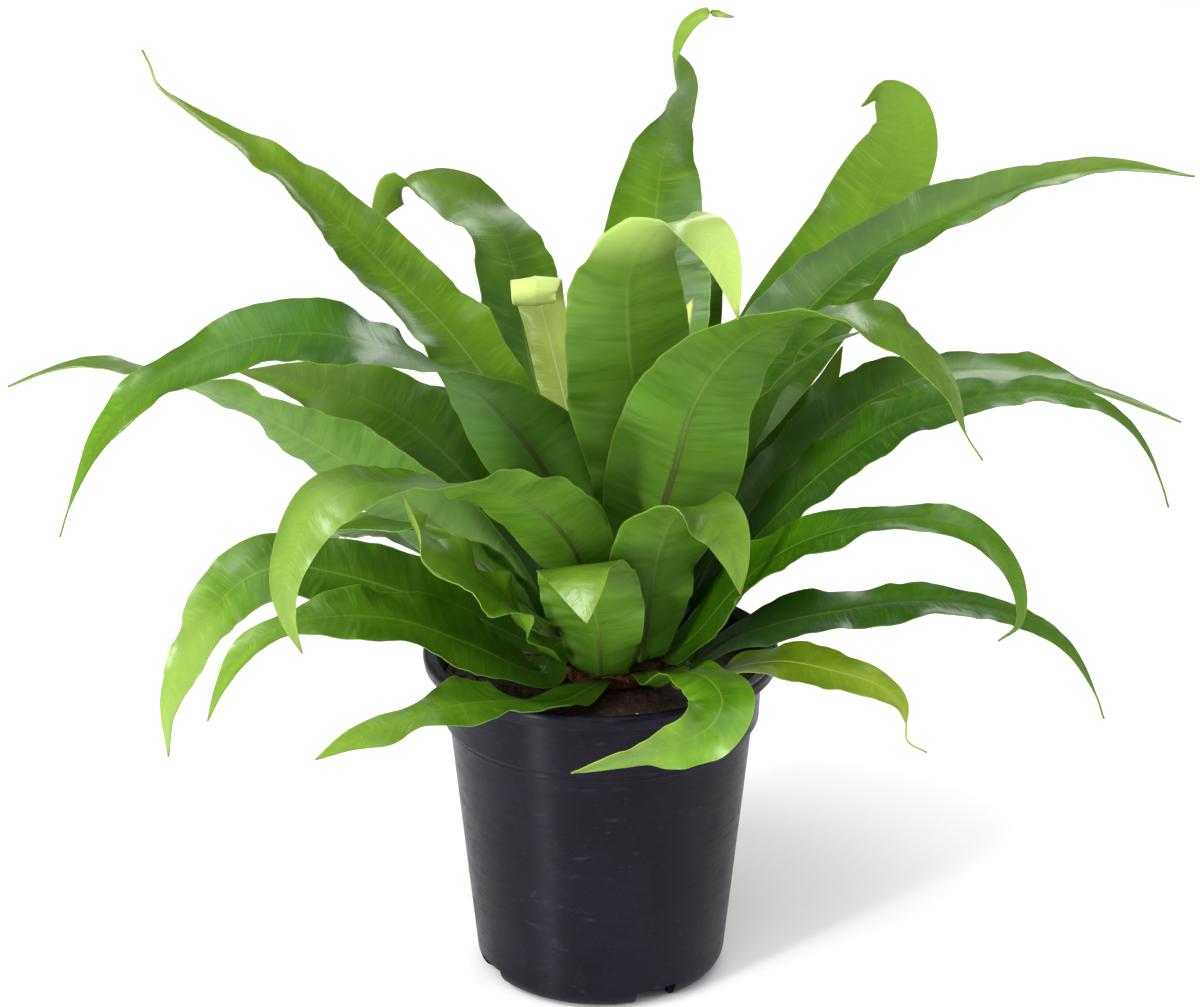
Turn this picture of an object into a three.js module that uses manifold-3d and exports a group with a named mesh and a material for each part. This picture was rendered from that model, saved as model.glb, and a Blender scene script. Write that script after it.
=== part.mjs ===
// A strap-leaved fern in a round plastic nursery pot.
// Millimetres, +Z up, origin at the middle of the pot's underside, -Y is the front.
import * as THREE from "three";
import Module from "manifold-3d";

const wasm = await Module();
wasm.setup();

// ---- Pot ----
const POT_HEIGHT = 183; // ground to the top of the rim
const RIM_RADIUS = 95; // outside of the rolled lip
const LIP_DROP = 9; // height of the lip's outer face
const LIP_OVERHANG = 9; // how far the lip stands out from the collar
const COLLAR_HEIGHT = 39; // rim down to the step
const COLLAR_TAPER = 1.5; // how much narrower the collar is at its bottom
const COLLAR_STEP = 5; // how far the body is set in under the collar
const BODY_TAPER = 13.5; // how much narrower the body is at the foot
const FOOT_ROUND = 11; // radius of the rounded foot
const WALL = 1.6;
const FLOOR_LIFT = 11; // height of the raised ring of floor above the ground
const FLOOR_RING_WIDTH = 18.5; // raised ring between the floor's middle and the foot
const NOTCH_WIDTH = 23;
const NOTCH_HEIGHT = 10;
const NOTCH_COUNT = 4;
const NOTCH_TURN = -63.5; // degrees round from +X to the first notch
const NOTCH_SETBACK = 6; // from the floor's middle out to the notches

const COLLAR_RADIUS = RIM_RADIUS - LIP_OVERHANG;
const BODY_TOP_RADIUS = COLLAR_RADIUS - COLLAR_STEP;
const FOOT_RADIUS = BODY_TOP_RADIUS - BODY_TAPER;
const FOOT_FLAT_RADIUS = FOOT_RADIUS - FOOT_ROUND;
const FLOOR_PAD_RADIUS = FOOT_FLAT_RADIUS - FLOOR_RING_WIDTH;

// ---- Filling and crown ----
const MIX_BELOW_RIM = 16; // top of the potting mix at the wall
const MIX_MOUND = 3; // how much higher the mix is in the middle
const FIT_GAP = 0.4; // clearance between pieces that rest on each other
const CROWN_RADIUS = 30;
const CROWN_X = 8; // the crown sits a little off the pot's axis

// ---- Fronds ----
const FOLIAGE_SPREAD = 1; // multiplies every frond's reach from the crown
const FOLIAGE_HEIGHT = 1; // multiplies every frond's height above the crown
const BLADE_WIDTH = 1; // multiplies every blade's half width, and opens the fronds out to make room for it
const BLADE_THICKNESS = 1.3;
const MIDRIB_DEPTH = 1.3; // extra thickness under the middle of the blade
const STALK_HALF_WIDTH = 4.6; // each frond where it leaves the crown
const TIP_HALF_WIDTH = 0.9;
const STATIONS = 19; // cross-sections along each frond
const DEG = Math.PI / 180;

const MIX_TOP = POT_HEIGHT - MIX_BELOW_RIM + MIX_MOUND;
const CROWN_CENTRE = new THREE.Vector3(CROWN_X, 0, MIX_TOP + FIT_GAP);

const potPlastic = new THREE.MeshStandardMaterial({ color: 0x2b292e, roughness: 0.42, metalness: 0 });
const peat = new THREE.MeshStandardMaterial({ color: 0x35231a, roughness: 0.95, metalness: 0 });
const scales = new THREE.MeshStandardMaterial({ color: 0x5a3420, roughness: 0.9, metalness: 0 });
const green = new THREE.MeshStandardMaterial({ color: 0x4f7f24, roughness: 0.45, metalness: 0 });
const deepGreen = new THREE.MeshStandardMaterial({ color: 0x3a6a1c, roughness: 0.45, metalness: 0 });
const youngGreen = new THREE.MeshStandardMaterial({ color: 0x8fb53c, roughness: 0.5, metalness: 0 });
const oldGreen = new THREE.MeshStandardMaterial({ color: 0x9a9a35, roughness: 0.5, metalness: 0 });

// Every frond leaves the crown in the direction `out` = [degrees round from +X, degrees up],
// then runs through `path`, whose points are [x, y, z] from the middle of the mix's top.
// `half` is the blade's greatest half width and `peak` how far along it comes (0 to 1).
// `tip` shapes its taper: under 1 draws out a thin tail, over 2 keeps it broad.
// `turn` lists the blade's twist in degrees from stalk to tip, `fold` the rise of its two halves,
// and `wave` the height of the ripples along its margins.
const FRONDS = [
  {
    name: "frond_upper_left", out: [162, 60], half: 25, peak: 0.47, tip: 1.15, fold: 8,
    turn: [10, -5, -20, -30, -20, 20],
    path: [[-45, 12, 131], [-76, 36, 172], [-111, 57, 203], [-146, 70, 235], [-176, 78, 259],
      [-203, 82, 274], [-222, 82, 288], [-233, 80, 299], [-236, 79, 309]],
  },
  {
    name: "frond_back_left_bent", out: [124, 68], half: 27, peak: 0.55, tip: 2.5, fold: 5,
    turn: [0, 0, 10, 10, 0],
    path: [[-26, 55, 110], [-40, 90, 149], [-47, 115, 184], [-57, 130, 206], [-76, 140, 218],
      [-95, 142, 226], [-110, 140, 227], [-119, 134, 218], [-124, 128, 205]],
  },
  {
    name: "frond_tall_centre", out: [285, 74], half: 34, peak: 0.48, tip: 1.5, fold: 5,
    turn: [0, 0, 0, 5, 10, 10],
    path: [[21, -32, 124], [17, -42, 166], [13, -58, 208], [14, -68, 241], [25, -80, 265],
      [41, -94, 274], [54, -106, 268], [61, -113, 254], [66, -117, 232]],
  },
  {
    name: "frond_tall_back", out: [70, 69], half: 33, peak: 0.5, tip: 1.0, fold: 6,
    turn: [0, 0, 0, 15, 80, 170],
    path: [[24, 44, 114], [26, 72, 166], [29, 98, 215], [33, 112, 250], [41, 118, 275],
      [45, 118, 291], [39, 114, 306], [43, 108, 321], [55, 103, 332], [70, 98, 331]],
  },
  {
    name: "frond_back_wavy", out: [82, 48], half: 22, fold: 4, wave: 3,
    turn: [0, 0, 0],
    path: [[30, 70, 76], [41, 108, 126], [51, 125, 167], [59, 140, 184], [66, 152, 183],
      [72, 160, 172]],
  },
  {
    name: "frond_right_hooked", out: [34, 59], half: 28, peak: 0.62, tip: 2.6, fold: 6,
    turn: [0, 30, 60, 60],
    path: [[53, 52, 89], [82, 80, 130], [110, 102, 168], [135, 118, 200], [153, 130, 231],
      [164, 138, 254], [163, 140, 270], [151, 136, 282], [141, 128, 275]],
  },
  {
    name: "frond_far_right_top", out: [5, 50], half: 27, peak: 0.4, tip: 1.5, fold: 16, wave: 1.5,
    turn: [10, 20, 25, 20, 5],
    path: [[53, 6, 105], [76, 22, 148], [107, 40, 185], [141, 54, 213], [184, 62, 234],
      [226, 66, 249], [267, 64, 258], [311, 56, 256]],
  },
  {
    name: "frond_centre_right_arch", out: [315, 60], half: 34, peak: 0.36, tip: 1.5, fold: 4,
    turn: [-50, -55, -45, -20, 0, 0],
    path: [[25, -37, 77], [37, -56, 133], [47, -70, 175], [65, -80, 205], [88, -90, 223],
      [115, -96, 228], [141, -99, 221], [158, -101, 207], [171, -102, 190], [179, -102, 169]],
  },
  {
    name: "frond_right_under_arch", out: [348, 47], half: 21, fold: 6,
    turn: [-20, -30, -20, 0],
    path: [[48, -12, 67], [61, -18, 103], [79, -20, 147], [97, -20, 170], [114, -18, 186],
      [132, -14, 193]],
  },
  {
    name: "frond_right_pointed", out: [52, 54], half: 15, peak: 0.6, fold: 6,
    turn: [0, 0, 0],
    path: [[54, 40, 41], [76, 56, 75], [102, 66, 108], [120, 72, 131], [130, 76, 156]],
  },
  {
    name: "frond_right_long", out: [12, 34], half: 25, peak: 0.45, tip: 1.6, fold: 8,
    turn: [15, 15, 10, 5],
    path: [[59, 12, 57], [95, 26, 98], [132, 36, 131], [164, 43, 146], [191, 47, 151],
      [228, 49, 149], [266, 47, 140], [309, 41, 125]],
  },
  {
    name: "frond_right_hanging", out: [347, 36], half: 24, peak: 0.38, tip: 1.0, fold: 6,
    turn: [15, 25, 20, 10],
    path: [[52, -14, 43], [83, -20, 85], [118, -26, 124], [153, -30, 150], [188, -33, 163],
      [223, -34, 167], [254, -34, 160], [276, -32, 141], [288, -30, 118]],
  },
  {
    name: "frond_right_mid_arch", out: [320, 29], half: 26, peak: 0.28, tip: 0.9, fold: 6,
    turn: [35, 40, 30, 25, 30, 30],
    path: [[46, -36, 31], [71, -64, 74], [97, -92, 106], [123, -111, 123], [151, -123, 132],
      [177, -130, 130], [196, -133, 116], [205, -134, 98], [205, -133, 80], [196, -130, 70]],
  },
  {
    name: "frond_right_low_arch", out: [338, 20], half: 20, peak: 0.35, tip: 1.0, fold: 5,
    turn: [15, 20, 15, 20],
    path: [[47, -20, 11], [70, -28, 29], [98, -35, 42], [126, -41, 50], [154, -45, 56],
      [185, -47, 56], [216, -48, 49], [241, -47, 33], [258, -46, 5]],
  },
  {
    name: "frond_old_right", out: [318, 13], half: 17.5, peak: 0.42, tip: 1.9, fold: 5, skin: oldGreen,
    turn: [0, 5, 20, 30],
    path: [[48, -40, 8], [68, -49, 21], [94, -59, 29], [120, -67, 27], [142, -71, 21],
      [154, -73, 12], [157, -74, 1]],
  },
  {
    name: "frond_front_drooping", out: [292, 17], half: 17, peak: 0.52, tip: 1.7, fold: 5,
    turn: [0, 0, 10, 25, 10],
    path: [[29, -48, 12], [44, -68, 27], [56, -90, 31], [61, -108, 27], [54, -120, 19],
      [36, -124, 11], [12, -122, 3], [-15, -116, -8]],
  },
  {
    name: "frond_front_folded", out: [288, 48], half: 25, peak: 0.5, tip: 1.6, fold: 6,
    turn: [0, 0, 0, 0],
    path: [[20, -42, 23], [25, -54, 61], [29, -68, 94], [37, -82, 118], [50, -91, 126],
      [61, -95, 116], [67, -96, 100], [70, -95, 81]],
  },
  {
    name: "frond_front_tucked", out: [262, 43], half: 26, peak: 0.62, fold: 6,
    turn: [0, 0, 5, 15],
    path: [[1, -42, 15], [-1, -59, 46], [-6, -75, 74], [-11, -89, 94], [-10, -101, 90],
      [-7, -109, 71]],
  },
  {
    name: "frond_front_left_arch", out: [240, 52], half: 25, peak: 0.42, tip: 1.5, fold: 6,
    turn: [15, 30, 35, 20, -10, -30, -25],
    path: [[-5, -48, 64], [-18, -70, 103], [-38, -92, 130], [-62, -112, 145], [-90, -128, 152],
      [-115, -140, 155], [-135, -148, 147], [-147, -151, 129], [-153, -152, 109], [-152, -151, 90],
      [-146, -148, 71]],
  },
  {
    name: "frond_left_ruffled", out: [219, 35], half: 23, peak: 0.6, tip: 2.4, fold: 6, wave: 3.5,
    turn: [0, -20, -30, -30],
    path: [[-30, -44, 30], [-45, -57, 59], [-62, -67, 77], [-77, -76, 91], [-88, -83, 105],
      [-95, -86, 118], [-98, -87, 131]],
  },
  {
    name: "frond_left_dark", out: [206, 48], half: 19, peak: 0.5, fold: 6,
    turn: [10, 10, 10, 0],
    path: [[-32, -19, 40], [-63, -25, 74], [-88, -30, 89], [-114, -32, 94], [-142, -34, 92]],
  },
  {
    name: "frond_left_hanging", out: [198, 33], half: 25, peak: 0.36, tip: 1.7, fold: 6,
    turn: [-12, -35, -30, -30, -30],
    path: [[-32, -10, 18], [-69, -17, 38], [-105, -24, 54], [-136, -30, 66], [-164, -34, 72],
      [-184, -37, 66], [-202, -39, 48], [-214, -40, 25], [-226, -40, -4], [-228, -39, -34]],
  },
  {
    name: "frond_left_low", out: [210, 20], half: 23, peak: 0.32, tip: 1.3, fold: 6,
    turn: [0, -28, -35, -20, -20],
    path: [[-32, -36, 13], [-68, -55, 37], [-102, -74, 58], [-132, -88, 66], [-159, -97, 65],
      [-179, -101, 53], [-191, -103, 35], [-199, -103, 15]],
  },
  {
    name: "frond_front_left_low", out: [256, 11], half: 19.5, peak: 0.42, tip: 1.6, fold: 5,
    turn: [0, 0, -15, -50, -20],
    path: [[-21, -67, 10], [-44, -96, 23], [-68, -116, 30], [-89, -128, 30], [-107, -133, 24],
      [-125, -136, 19], [-142, -139, 10]],
  },
  {
    name: "frond_left_big_arch", out: [196, 61], half: 32, peak: 0.34, tip: 1.4, fold: 5,
    turn: [35, 58, 56, 14, -22, -30, -30, -34],
    path: [[-8, -12, 67], [-24, -20, 112], [-53, -32, 158], [-81, -42, 184], [-108, -50, 196],
      [-141, -55, 205], [-174, -58, 203], [-206, -60, 191], [-232, -61, 175], [-252, -62, 153],
      [-270, -62, 114]],
  },
  {
    name: "frond_far_left", out: [177, 34], half: 30, peak: 0.36, tip: 1.9, fold: 5,
    turn: [20, 55, 62, 56, 36, 8, -5],
    path: [[-22, 6, 14], [-49, 14, 41], [-86, 22, 73], [-117, 26, 96], [-149, 28, 117],
      [-180, 28, 135], [-211, 27, 150], [-237, 26, 159], [-263, 24, 163], [-286, 22, 161],
      [-311, 20, 152]],
  },
  {
    name: "frond_left_lit", out: [166, 46], half: 30, peak: 0.5, fold: 6,
    turn: [-10, -30, -30],
    path: [[-22, 22, 31], [-49, 40, 64], [-81, 54, 99], [-114, 64, 123], [-151, 72, 135],
      [-196, 78, 141]],
  },
  {
    name: "frond_back_right_low", out: [46, 26], half: 24, fold: 14,
    turn: [0, 0, 0],
    path: [[70, 80, 38], [98, 132, 44], [108, 172, 34], [110, 200, 16]],
  },
  {
    name: "frond_back_right", out: [66, 34], half: 25, fold: 14,
    turn: [0, 0, 0],
    path: [[44, 90, 79], [66, 145, 107], [84, 190, 95], [94, 222, 53]],
  },
  {
    name: "frond_back", out: [104, 38], half: 26, fold: 14,
    turn: [0, 0, 0],
    path: [[-14, 86, 95], [-30, 138, 128], [-38, 188, 118], [-42, 224, 75]],
  },
  {
    name: "frond_back_left", out: [128, 32], half: 25, fold: 14,
    turn: [0, 0, 0],
    path: [[-48, 76, 69], [-92, 124, 99], [-132, 166, 91], [-160, 196, 50]],
  },
  {
    name: "frond_back_left_low", out: [156, 14], half: 22, fold: 14,
    turn: [0, 0, 0],
    path: [[-62, 66, 16], [-110, 100, 38], [-148, 136, 24], [-172, 160, -14]],
  },
  {
    name: "frond_back_low", out: [88, 14], half: 21, fold: 12,
    turn: [0, 0, 0],
    path: [[10, 86, 31], [16, 138, 41], [18, 180, 23], [20, 208, -13]],
  },
  {
    name: "frond_young_scrolled", out: [110, 78], half: 13, peak: 0.6, tip: 9, fold: 10, skin: youngGreen,
    turn: [0, 0, 0],
    path: [[-10, 14, 102], [-19, 18, 145], [-27, 22, 177], [-32, 25, 198], [-34, 24, 207],
      [-34, 18, 212], [-34, 11, 212], [-34, 13, 206]],
  },
  {
    name: "frond_young_right", out: [20, 78], half: 10, peak: 0.6, tip: 5, fold: 30, skin: youngGreen,
    turn: [0, 0, 0],
    path: [[28, 6, 82], [38, 10, 137], [45, 14, 180], [48, 15, 202]],
  },
];

// Half width a fraction t of the way along a frond: narrow stalk, broad blade, pointed tip.
function halfWidthAt(frond, t) {
  const peak = frond.peak ?? 0.55;
  const rise = Math.sin((Math.min(1, t / peak) * Math.PI) / 2) ** 1.15;
  const taper = 1 - Math.max(0, (t - peak) / (1 - peak)) ** (frond.tip ?? 1.9);
  const blade = STALK_HALF_WIDTH + (frond.half * BLADE_WIDTH - STALK_HALF_WIDTH) * rise;
  return TIP_HALF_WIDTH + (blade - TIP_HALF_WIDTH) * taper;
}

function listAt(list, t) {
  const place = t * (list.length - 1);
  const step = Math.min(Math.floor(place), list.length - 2);
  return THREE.MathUtils.lerp(list[step], list[step + 1], place - step);
}

// The frond's middle line, from just off the crown to the tip.
function middleLine(frond) {
  const [round, up] = frond.out;
  const leave = new THREE.Vector3(
    Math.cos(up * DEG) * Math.cos(round * DEG),
    Math.cos(up * DEG) * Math.sin(round * DEG),
    Math.sin(up * DEG),
  );
  const start = CROWN_CENTRE.clone().addScaledVector(leave, CROWN_RADIUS + FIT_GAP);
  const clear = CROWN_CENTRE.clone().addScaledVector(leave, CROWN_RADIUS + 12);
  const reach = FOLIAGE_SPREAD * BLADE_WIDTH;
  const rise = FOLIAGE_HEIGHT * BLADE_WIDTH;
  const rest = frond.path.map(([x, y, z]) => new THREE.Vector3(x * reach, y * reach, MIX_TOP + z * rise));
  return new THREE.CatmullRomCurve3([start, clear, ...rest], false, "centripetal");
}

// Six corners of the frond's cross-section: left, middle and right on top, then back again below.
function crossSection(frond, line, t) {
  const centre = line.getPointAt(t);
  const along = line.getTangentAt(t);
  const round = frond.out[0] * DEG;
  const level = new THREE.Vector3(-Math.sin(round), Math.cos(round), 0);
  const across = level.addScaledVector(along, -level.dot(along)).normalize();
  across.applyAxisAngle(along, listAt(frond.turn, t) * DEG);
  const upper = new THREE.Vector3().crossVectors(along, across);
  const half = halfWidthAt(frond, t);
  const fold = frond.fold * DEG;
  const ripple = (frond.wave ?? 1) * Math.sin(t * 9 * Math.PI) * Math.min(1, half / 15);
  const corner = (side, lift) =>
    centre
      .clone()
      .addScaledVector(across, side * half * Math.cos(fold))
      .addScaledVector(upper, Math.abs(side) * (half * Math.sin(fold) + side * ripple) + lift);
  const skin = BLADE_THICKNESS / 2;
  const rib = skin + MIDRIB_DEPTH * (1 - 0.8 * t);
  const top = [corner(-1, skin), corner(0, skin), corner(1, skin)];
  const underside = [corner(1, -skin), corner(0, -rib), corner(-1, -skin)];
  return [...top, ...underside];
}

function frondGeometry(frond) {
  const line = middleLine(frond);
  line.arcLengthDivisions = 400;
  const points = [];
  const faces = [];
  for (let i = 0; i < STATIONS; i++) {
    points.push(...crossSection(frond, line, i / (STATIONS - 1)));
  }
  for (let i = 0; i < STATIONS - 1; i++) {
    for (let k = 0; k < 6; k++) {
      const a = i * 6 + k;
      const b = i * 6 + ((k + 1) % 6);
      // The underside is split along the same diagonals as the top, so a twisted blade keeps its thickness.
      const under = k === 3 || k === 4;
      faces.push(...(under ? [a, a + 6, b, a + 6, b + 6, b] : [a, b + 6, b, a, a + 6, b + 6]));
    }
  }
  const last = (STATIONS - 1) * 6;
  for (const [a, b, c] of [[0, 5, 1], [5, 4, 1], [1, 4, 2], [4, 3, 2]]) {
    faces.push(a, c, b, last + a, last + b, last + c);
  }
  const geometry = new THREE.BufferGeometry();
  const numbers = points.flatMap((point) => point.toArray());
  geometry.setAttribute("position", new THREE.Float32BufferAttribute(numbers, 3));
  geometry.setIndex(faces);
  geometry.computeVertexNormals();
  return geometry;
}

function toSolid(geometry) {
  const plain = geometry.clone();
  const merged = new wasm.Mesh({
    numProp: 3,
    vertProperties: plain.getAttribute("position").array,
    triVerts: new Uint32Array(plain.index.array),
  });
  merged.merge();
  return new wasm.Manifold(merged);
}

function toGeometry(solid) {
  const mesh = solid.getMesh();
  const geometry = new THREE.BufferGeometry();
  geometry.setAttribute("position", new THREE.BufferAttribute(mesh.vertProperties, 3));
  geometry.setIndex(new THREE.BufferAttribute(mesh.triVerts, 1));
  geometry.computeVertexNormals();
  return geometry;
}

// A profile of [radius, height] pairs, from the axis round to the axis, turned about +Z.
function turned(profile, segments) {
  const lathe = new THREE.LatheGeometry(profile.map(([r, z]) => new THREE.Vector2(r, z)), segments);
  return lathe.rotateX(Math.PI / 2);
}

function potGeometry() {
  const rimTop = POT_HEIGHT;
  const step = POT_HEIGHT - COLLAR_HEIGHT;
  const outside = [
    [0, 0],
    [FLOOR_PAD_RADIUS, 0],
    [FLOOR_PAD_RADIUS + 1, FLOOR_LIFT],
    [FOOT_FLAT_RADIUS - 2, FLOOR_LIFT],
    [FOOT_FLAT_RADIUS - 1, 0],
  ];
  for (let i = 0; i <= 4; i++) {
    const a = (i / 4) * 90 * DEG;
    outside.push([FOOT_FLAT_RADIUS + FOOT_ROUND * Math.sin(a), FOOT_ROUND * (1 - Math.cos(a))]);
  }
  outside.push(
    [BODY_TOP_RADIUS, step],
    [COLLAR_RADIUS - COLLAR_TAPER, step + 1],
    [COLLAR_RADIUS, rimTop - LIP_DROP],
    [RIM_RADIUS - 1, rimTop - LIP_DROP + 1],
    [RIM_RADIUS, rimTop - 2],
    [RIM_RADIUS - 1.5, rimTop],
    [COLLAR_RADIUS + 1, rimTop - 2],
    [COLLAR_RADIUS - WALL, rimTop - LIP_DROP],
    [COLLAR_RADIUS - COLLAR_TAPER - WALL, step + 1 + WALL],
    [BODY_TOP_RADIUS - WALL, step - WALL],
    [FOOT_RADIUS - WALL, FLOOR_LIFT + WALL],
    [FLOOR_PAD_RADIUS - WALL, FLOOR_LIFT + WALL],
    [FLOOR_PAD_RADIUS - 1 - WALL, WALL],
    [0, WALL],
  );
  let pot = toSolid(turned(outside, 48));
  for (let i = 0; i < NOTCH_COUNT; i++) {
    const notch = wasm.Manifold.cube([FOOT_RADIUS, NOTCH_WIDTH, NOTCH_HEIGHT + 1], true)
      .translate([FLOOR_PAD_RADIUS + NOTCH_SETBACK + FOOT_RADIUS / 2, 0, NOTCH_HEIGHT / 2 - 0.5])
      .rotate([0, 0, NOTCH_TURN + (i * 360) / NOTCH_COUNT]);
    pot = pot.subtract(notch);
  }
  return toGeometry(pot);
}

function mixGeometry() {
  const edge = POT_HEIGHT - MIX_BELOW_RIM;
  const step = POT_HEIGHT - COLLAR_HEIGHT;
  const inset = WALL + FIT_GAP;
  return turned(
    [
      [0, inset],
      [FLOOR_PAD_RADIUS - 1 - inset, inset],
      [FLOOR_PAD_RADIUS - inset, FLOOR_LIFT + inset],
      [FOOT_RADIUS - inset, FLOOR_LIFT + inset],
      [BODY_TOP_RADIUS - inset, step - inset],
      [COLLAR_RADIUS - COLLAR_TAPER - inset - 1, step + 1 + inset],
      [COLLAR_RADIUS - inset - 1, edge],
      [COLLAR_RADIUS * 0.5, edge + MIX_MOUND * 0.7],
      [CROWN_RADIUS, MIX_TOP],
      [0, MIX_TOP],
    ],
    40,
  );
}

// The crown is a half ball standing on the mix.
function crownGeometry() {
  const profile = [[0, 0]];
  for (let i = 0; i <= 6; i++) {
    const a = (i / 6) * 90 * DEG;
    profile.push([CROWN_RADIUS * Math.cos(a), CROWN_RADIUS * Math.sin(a)]);
  }
  return turned(profile, 20).translate(CROWN_CENTRE.x, CROWN_CENTRE.y, CROWN_CENTRE.z);
}

const group = new THREE.Group();

function addPiece(name, geometry, material) {
  const piece = new THREE.Mesh(geometry, material);
  piece.name = name;
  group.add(piece);
}

addPiece("pot", potGeometry(), potPlastic);
addPiece("potting_mix", mixGeometry(), peat);
addPiece("crown", crownGeometry(), scales);
FRONDS.forEach((frond, i) => {
  addPiece(frond.name, frondGeometry(frond), frond.skin ?? (i % 2 ? deepGreen : green));
});

export default group;
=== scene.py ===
"""A strap-leaved fern in a nursery pot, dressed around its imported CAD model.

Metres, +Z up, origin at the middle of the pot's underside, -Y is the front.
"""

import math
import random

import bpy
import numpy as np
from mathutils import Matrix, Vector, noise


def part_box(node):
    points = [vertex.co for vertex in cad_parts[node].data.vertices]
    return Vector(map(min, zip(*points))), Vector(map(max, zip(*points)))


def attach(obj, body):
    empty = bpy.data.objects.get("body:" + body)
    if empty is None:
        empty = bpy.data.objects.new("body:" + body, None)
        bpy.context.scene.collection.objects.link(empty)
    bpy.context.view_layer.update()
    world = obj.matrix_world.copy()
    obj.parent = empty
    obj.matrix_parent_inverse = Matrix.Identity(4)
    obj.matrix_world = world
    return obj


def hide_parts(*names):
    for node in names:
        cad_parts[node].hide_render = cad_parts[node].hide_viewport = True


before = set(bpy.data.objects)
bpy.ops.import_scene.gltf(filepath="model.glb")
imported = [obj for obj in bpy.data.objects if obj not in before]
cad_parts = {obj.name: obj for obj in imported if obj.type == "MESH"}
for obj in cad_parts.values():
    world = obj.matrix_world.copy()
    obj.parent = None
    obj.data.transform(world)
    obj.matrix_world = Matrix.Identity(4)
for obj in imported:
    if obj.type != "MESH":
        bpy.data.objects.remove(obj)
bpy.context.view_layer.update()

MM = 0.001
DEG = math.pi / 180

# ---- Camera: a long lens a little above the plant, looking from the front ----
VIEW_RISE = 20.5 * DEG
VIEW_DISTANCE = 1.9
VIEW_AIM = Vector((-0.0005, 0, 0.264))
LENS_MM = 108.66
SENSOR_MM = 36


def add_camera():
    camera = bpy.data.objects.new("camera", bpy.data.cameras.new("camera"))
    bpy.context.scene.collection.objects.link(camera)
    offset = Vector((0, -math.cos(VIEW_RISE), math.sin(VIEW_RISE))) * VIEW_DISTANCE
    camera.location = VIEW_AIM + offset
    camera.rotation_euler = (math.pi / 2 - VIEW_RISE, 0, 0)
    camera.data.lens = LENS_MM
    camera.data.sensor_width = SENSOR_MM
    camera.data.clip_end = 20
    bpy.context.scene.camera = camera


add_camera()

# ---- Sizes shared with the CAD model, read from the imported model where it holds them ----
_, mix_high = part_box("potting_mix")
crown_low, crown_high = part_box("crown")
pot_low, pot_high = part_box("pot")
MIX_TOP = mix_high.z
CROWN_RADIUS = (crown_high.x - crown_low.x) / 2
CROWN_CENTRE = Vector(((crown_low.x + crown_high.x) / 2, (crown_low.y + crown_high.y) / 2, crown_low.z))
FIT_GAP = 0.4 * MM
STALK_HALF_WIDTH = 4.6 * MM
TIP_HALF_WIDTH = 0.35 * MM

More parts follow.
